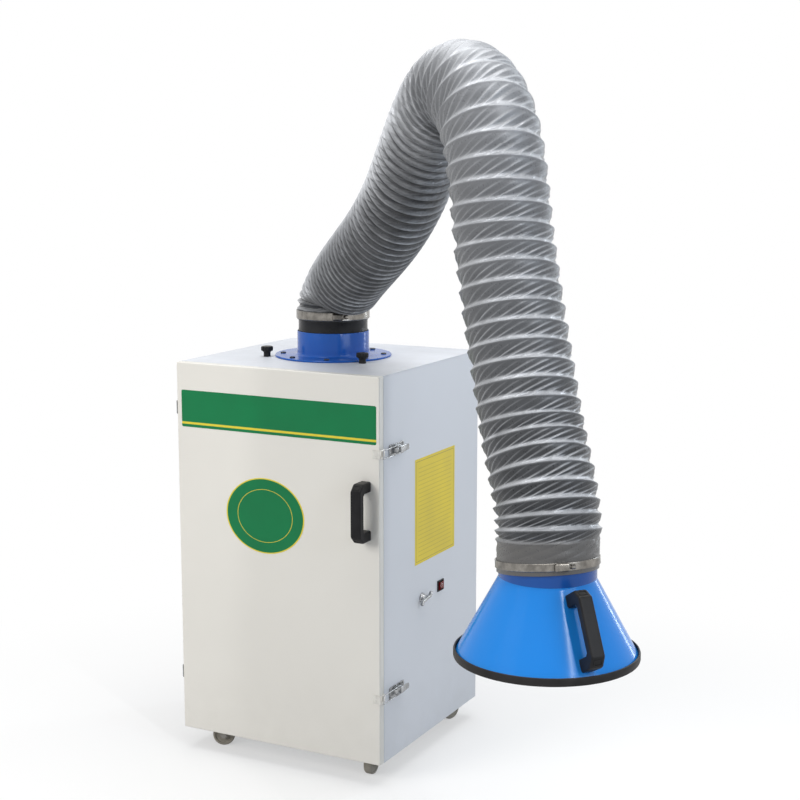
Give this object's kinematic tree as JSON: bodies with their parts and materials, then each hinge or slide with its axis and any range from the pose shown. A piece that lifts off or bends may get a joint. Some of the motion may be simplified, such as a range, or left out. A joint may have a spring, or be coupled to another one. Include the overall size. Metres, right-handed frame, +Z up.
{
  "type": "mobile welding fume extractor",
  "caption": "Filter cabinet on swivel castors with a front door, and a ribbed suction hose on a jointed swivelling arm that ends in a round hood.",
  "frame": {"origin": "on the floor, under the middle of the whole object with its arm held out", "axes": "+X to the cabinet's right seen from its door side, +Y from the door to the back, +Z up"},
  "size_m": [1.216, 1.0836, 1.5247],
  "materials": {
    "cabinet_enamel": "semi-gloss",
    "blue_enamel": "gloss",
    "black_plastic": "satin",
    "bright_zinc": "polished",
    "galvanised_steel": "dull",
    "castor_steel": "dull",
    "castor_tread": "dull",
    "black_rubber": "dull",
    "hose_fabric": "glossy coated cloth",
    "filter_paper": "matt",
    "switch_red": "gloss",
    "motor_grey": "satin"
  },
  "bodies": {
    "cabinet": {"side_panel_left": "cabinet_enamel", "side_panel_right": "cabinet_enamel", "back_panel": "cabinet_enamel", "top_panel": "cabinet_enamel", "base_plate": "galvanised_steel", "partition_plate": "galvanised_steel", "main_filter": "filter_paper", "spark_screen": "galvanised_steel", "filter_clamp_rail": "galvanised_steel", "fan_housing": "galvanised_steel", "fan_motor": "motor_grey", "hinge_leaf_cabinet_upper": "galvanised_steel", "hinge_leaf_cabinet_lower": "galvanised_steel", "latch_base_upper": "bright_zinc", "latch_base_lower": "bright_zinc", "switch_bezel": "black_plastic", "inlet_collar": "blue_enamel", "castor_plate_front_left": "castor_steel", "castor_plate_front_right": "castor_steel", "castor_plate_rear_left": "castor_steel", "castor_plate_rear_right": "castor_steel"},
    "door": {"door_panel": "cabinet_enamel", "door_seal": "black_rubber", "door_handle": "black_plastic", "hinge_leaf_door_upper": "galvanised_steel", "hinge_leaf_door_lower": "galvanised_steel", "latch_keeper_upper": "bright_zinc", "latch_keeper_lower": "bright_zinc"},
    "lever_upper": {"latch_lever_upper": "bright_zinc"},
    "lever_lower": {"latch_lever_lower": "bright_zinc"},
    "bail_upper": {"latch_bail_upper": "bright_zinc"},
    "bail_lower": {"latch_bail_lower": "bright_zinc"},
    "turn_latch": {"wing_latch": "bright_zinc"},
    "switch_key": {"switch_rocker": "switch_red"},
    "knob_left": {"thumb_knob_left": "black_plastic"},
    "knob_right": {"thumb_knob_right": "black_plastic"},
    "impeller": {"fan_impeller": "galvanised_steel"},
    "arm_base": {"swivel_ring": "black_plastic", "arm_yoke": "galvanised_steel", "hose_clamp_collar": "bright_zinc", "hose_collar_bend": "hose_fabric"},
    "lower_arm": {"lower_arm_bar": "galvanised_steel", "hose_lower": "hose_fabric", "hose_elbow": "hose_fabric"},
    "upper_arm": {"upper_arm_bar": "galvanised_steel", "hose_upper": "hose_fabric", "hose_hood_bend": "hose_fabric"},
    "hood": {"hood_bracket": "galvanised_steel", "hood_shell": "blue_enamel", "hood_edge_trim": "black_rubber", "hood_handle": "black_plastic", "hose_clamp_hood": "bright_zinc"},
    "fork_front_left": {"castor_fork_front_left": "castor_steel"},
    "wheel_front_left": {"castor_wheel_front_left": "castor_tread"},
    "fork_front_right": {"castor_fork_front_right": "castor_steel"},
    "wheel_front_right": {"castor_wheel_front_right": "castor_tread"},
    "fork_rear_left": {"castor_fork_rear_left": "castor_steel"},
    "wheel_rear_left": {"castor_wheel_rear_left": "castor_tread"},
    "fork_rear_right": {"castor_fork_rear_right": "castor_steel"},
    "wheel_rear_right": {"castor_wheel_rear_right": "castor_tread"}
  },
  "joints": [
    {"name": "door_open", "type": "hinge", "parent": "cabinet", "child": "door", "pos_m": [-0.60403, 0.08034, 0.465], "axis": [0, 0, -1], "range_deg": [0, 100]},
    {"name": "lever_upper_open", "type": "hinge", "parent": "cabinet", "child": "lever_upper", "pos_m": [-0.09243, 0.12684, 0.72], "axis": [0, 0, -1], "range_deg": [0, 110]},
    {"name": "bail_upper_swing", "type": "hinge", "parent": "lever_upper", "child": "bail_upper", "pos_m": [-0.09153, 0.13884, 0.72], "axis": [0, 0, 1], "range_deg": [0, 126]},
    {"name": "lever_lower_open", "type": "hinge", "parent": "cabinet", "child": "lever_lower", "pos_m": [-0.09243, 0.12684, 0.196], "axis": [0, 0, -1], "range_deg": [0, 110]},
    {"name": "bail_lower_swing", "type": "hinge", "parent": "lever_lower", "child": "bail_lower", "pos_m": [-0.09153, 0.13884, 0.196], "axis": [0, 0, 1], "range_deg": [0, 126]},
    {"name": "turn_latch_turn", "type": "hinge", "parent": "cabinet", "child": "turn_latch", "pos_m": [-0.09973, 0.25584, 0.367], "axis": [1, 0, 0], "range_deg": [0, 90]},
    {"name": "switch_rock", "type": "hinge", "parent": "cabinet", "child": "switch_key", "pos_m": [-0.10243, 0.34784, 0.3725], "axis": [0, 0, -1], "range_deg": [0, 16]},
    {"name": "knob_left_turn", "type": "hinge", "parent": "cabinet", "child": "knob_left", "pos_m": [-0.47073, 0.22584, 0.88], "axis": [0, 0, 1], "continuous": true},
    {"name": "knob_right_turn", "type": "hinge", "parent": "cabinet", "child": "knob_right", "pos_m": [-0.22873, 0.22584, 0.88], "axis": [0, 0, 1], "continuous": true},
    {"name": "impeller_spin", "type": "hinge", "parent": "cabinet", "child": "impeller", "pos_m": [-0.34973, 0.32184, 0.34], "axis": [0, 0, 1], "continuous": true},
    {"name": "arm_swivel", "type": "hinge", "parent": "cabinet", "child": "arm_base", "pos_m": [-0.34973, 0.31084, 0.937], "axis": [0, 0, 1], "continuous": true},
    {"name": "arm_shoulder", "type": "hinge", "parent": "arm_base", "child": "lower_arm", "pos_m": [-0.34973, 0.31084, 0.985], "axis": [0.6561, 0.7547, 0], "range_deg": [-25, 15], "deforming": ["hose_collar_bend"]},
    {"name": "arm_elbow", "type": "hinge", "parent": "lower_arm", "child": "upper_arm", "pos_m": [0.21253, -0.17792, 1.435], "axis": [0.6561, 0.7547, 0], "range_deg": [-50, 20], "deforming": ["hose_elbow"]},
    {"name": "hood_tilt", "type": "hinge", "parent": "upper_arm", "child": "hood", "pos_m": [0.45404, -0.38786, 0.7], "axis": [0.6561, 0.7547, 0], "range_deg": [-30, 40], "deforming": ["hose_hood_bend"]},
    {"name": "castor_front_left_swivel", "type": "hinge", "parent": "cabinet", "child": "fork_front_left", "pos_m": [-0.54473, 0.11384, 0.06], "axis": [0, 0, 1], "continuous": true},
    {"name": "castor_front_left_roll", "type": "hinge", "parent": "fork_front_left", "child": "wheel_front_left", "pos_m": [-0.53237, 0.12041, 0.025], "axis": [-0.4695, 0.8829, 0], "continuous": true},
    {"name": "castor_front_right_swivel", "type": "hinge", "parent": "cabinet", "child": "fork_front_right", "pos_m": [-0.15473, 0.11384, 0.06], "axis": [0, 0, 1], "continuous": true},
    {"name": "castor_front_right_roll", "type": "hinge", "parent": "fork_front_right", "child": "wheel_front_right", "pos_m": [-0.15595, 0.12779, 0.025], "axis": [-0.9962, -0.0872, 0], "continuous": true},
    {"name": "castor_rear_left_swivel", "type": "hinge", "parent": "cabinet", "child": "fork_rear_left", "pos_m": [-0.54473, 0.48984, 0.06], "axis": [0, 0, 1], "continuous": true},
    {"name": "castor_rear_left_roll", "type": "hinge", "parent": "fork_rear_left", "child": "wheel_rear_left", "pos_m": [-0.54952, 0.50299, 0.025], "axis": [-0.9397, -0.342, 0], "continuous": true},
    {"name": "castor_rear_right_swivel", "type": "hinge", "parent": "cabinet", "child": "fork_rear_right", "pos_m": [-0.15473, 0.48984, 0.06], "axis": [0, 0, 1], "continuous": true},
    {"name": "castor_rear_right_roll", "type": "hinge", "parent": "fork_rear_right", "child": "wheel_rear_right", "pos_m": [-0.14994, 0.50299, 0.025], "axis": [-0.9397, 0.342, 0], "continuous": true}
  ],
  "couplings": [
    {"joint": "bail_upper_swing", "follows": "lever_upper_open", "ratio": 1.136},
    {"joint": "bail_lower_swing", "follows": "lever_lower_open", "ratio": 1.136}
  ]
}
